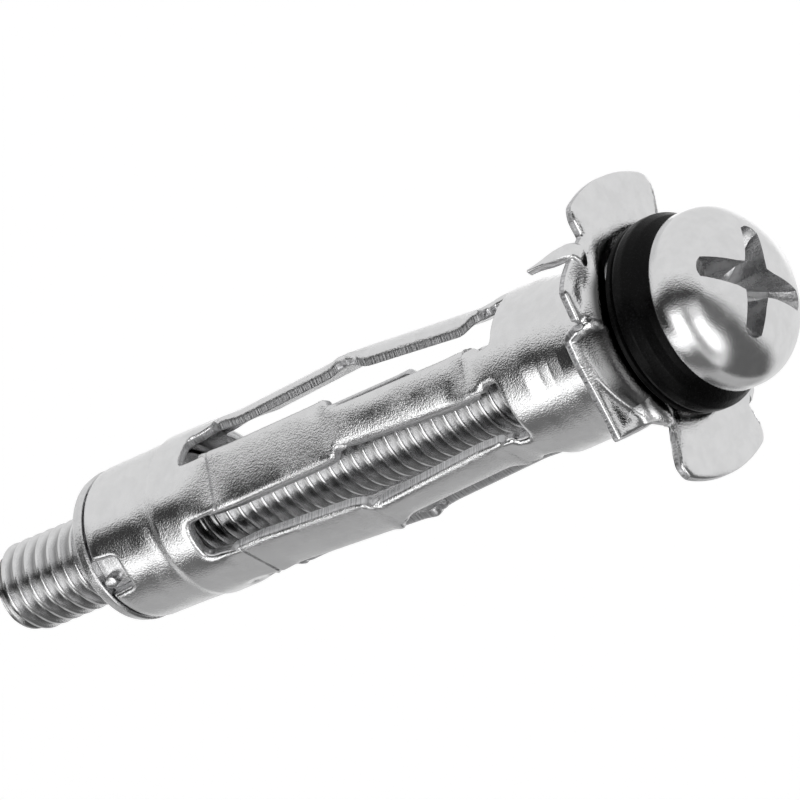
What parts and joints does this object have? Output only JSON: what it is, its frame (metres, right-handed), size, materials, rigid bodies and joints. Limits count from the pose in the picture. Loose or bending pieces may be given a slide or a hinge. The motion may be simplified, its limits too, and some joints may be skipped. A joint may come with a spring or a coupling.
{
  "type": "wall anchor",
  "caption": "Hollow wall anchor: a pan-head screw with a plastic washer in a slotted metal sleeve whose legs fold outwards, with an eared and clawed flange and a nut in its tail.",
  "frame": {"origin": "on the screw's axis, in the plane of the flange's back face, where the wall's surface is", "axes": "+Z out of the wall along the screw's axis, towards its head; +X along one ear of the flange"},
  "size_m": [0.0206, 0.0146, 0.0643],
  "materials": {
    "sleeve_steel": "bright zinc-plated sheet steel with a fine grain",
    "screw_steel": "bright zinc-plated steel",
    "nut_steel": "bright zinc-plated steel",
    "black_plastic": "black plastic, slightly glossy"
  },
  "bodies": {
    "collar": {"collar": "sleeve_steel"},
    "leg_1_front": {"leg_1_front": "sleeve_steel"},
    "leg_1_rear": {"leg_1_rear": "sleeve_steel"},
    "leg_2_front": {"leg_2_front": "sleeve_steel"},
    "leg_2_rear": {"leg_2_rear": "sleeve_steel"},
    "leg_3_front": {"leg_3_front": "sleeve_steel"},
    "leg_3_rear": {"leg_3_rear": "sleeve_steel"},
    "leg_4_front": {"leg_4_front": "sleeve_steel"},
    "leg_4_rear": {"leg_4_rear": "sleeve_steel"},
    "leg_5_front": {"leg_5_front": "sleeve_steel"},
    "leg_5_rear": {"leg_5_rear": "sleeve_steel"},
    "tail": {"tail_barrel": "sleeve_steel", "nut": "nut_steel"},
    "washer": {"washer": "black_plastic"},
    "screw": {"screw": "screw_steel"}
  },
  "joints": [
    {"name": "fold_1", "type": "hinge", "parent": "collar", "child": "leg_1_front", "pos_m": [0.00519, -0.00036, -0.0119], "axis": [-0.0698, -0.9976, 0], "range_deg": [0, 70]},
    {"name": "knee_1", "type": "hinge", "parent": "leg_1_front", "child": "leg_1_rear", "pos_m": [0.00505, -0.00035, -0.023], "axis": [0.0698, 0.9976, 0], "range_deg": [0, 140]},
    {"name": "tail_fold", "type": "hinge", "parent": "leg_1_rear", "child": "tail", "pos_m": [0.00519, -0.00036, -0.0341], "axis": [-0.0698, -0.9976, 0], "range_deg": [0, 70]},
    {"name": "fold_2", "type": "hinge", "parent": "collar", "child": "leg_2_front", "pos_m": [0.00195, 0.00482, -0.0119], "axis": [0.9272, -0.3746, 0], "range_deg": [0, 70]},
    {"name": "knee_2", "type": "hinge", "parent": "leg_2_front", "child": "leg_2_rear", "pos_m": [0.00189, 0.00469, -0.023], "axis": [-0.9272, 0.3746, 0], "range_deg": [0, 140]},
    {"name": "fold_3", "type": "hinge", "parent": "collar", "child": "leg_3_front", "pos_m": [-0.00398, 0.00334, -0.0119], "axis": [0.6428, 0.766, 0], "range_deg": [0, 70]},
    {"name": "knee_3", "type": "hinge", "parent": "leg_3_front", "child": "leg_3_rear", "pos_m": [-0.00387, 0.00325, -0.023], "axis": [-0.6428, -0.766, 0], "range_deg": [0, 140]},
    {"name": "fold_4", "type": "hinge", "parent": "collar", "child": "leg_4_front", "pos_m": [-0.00441, -0.00276, -0.0119], "axis": [-0.5299, 0.848, 0], "range_deg": [0, 70]},
    {"name": "knee_4", "type": "hinge", "parent": "leg_4_front", "child": "leg_4_rear", "pos_m": [-0.00429, -0.00268, -0.023], "axis": [0.5299, -0.848, 0], "range_deg": [0, 140]},
    {"name": "fold_5", "type": "hinge", "parent": "collar", "child": "leg_5_front", "pos_m": [0.00126, -0.00505, -0.0119], "axis": [-0.9703, -0.2419, 0], "range_deg": [0, 70]},
    {"name": "knee_5", "type": "hinge", "parent": "leg_5_front", "child": "leg_5_rear", "pos_m": [0.00122, -0.00491, -0.023], "axis": [0.9703, 0.2419, 0], "range_deg": [0, 140]},
    {"name": "screw_out", "type": "slide", "parent": "collar", "child": "washer", "axis": [0, 0, 1], "range_m": [0, 0.01]},
    {"name": "screw_turn", "type": "hinge", "parent": "washer", "child": "screw", "pos_m": [0, 0, 0.0045], "axis": [0, 0, 1], "range_deg": [0, 3600]}
  ],
  "couplings": [
    {"joint": "knee_1", "follows": "fold_1", "ratio": 2},
    {"joint": "tail_fold", "follows": "fold_1", "ratio": 1},
    {"joint": "fold_2", "follows": "fold_1", "ratio": 1},
    {"joint": "knee_2", "follows": "fold_1", "ratio": 2},
    {"joint": "fold_3", "follows": "fold_1", "ratio": 1},
    {"joint": "knee_3", "follows": "fold_1", "ratio": 2},
    {"joint": "fold_4", "follows": "fold_1", "ratio": 1},
    {"joint": "knee_4", "follows": "fold_1", "ratio": 2},
    {"joint": "fold_5", "follows": "fold_1", "ratio": 1},
    {"joint": "knee_5", "follows": "fold_1", "ratio": 2},
    {"joint": "screw_turn", "follows": "screw_out", "rad_per_m": 6283.2}
  ]
}
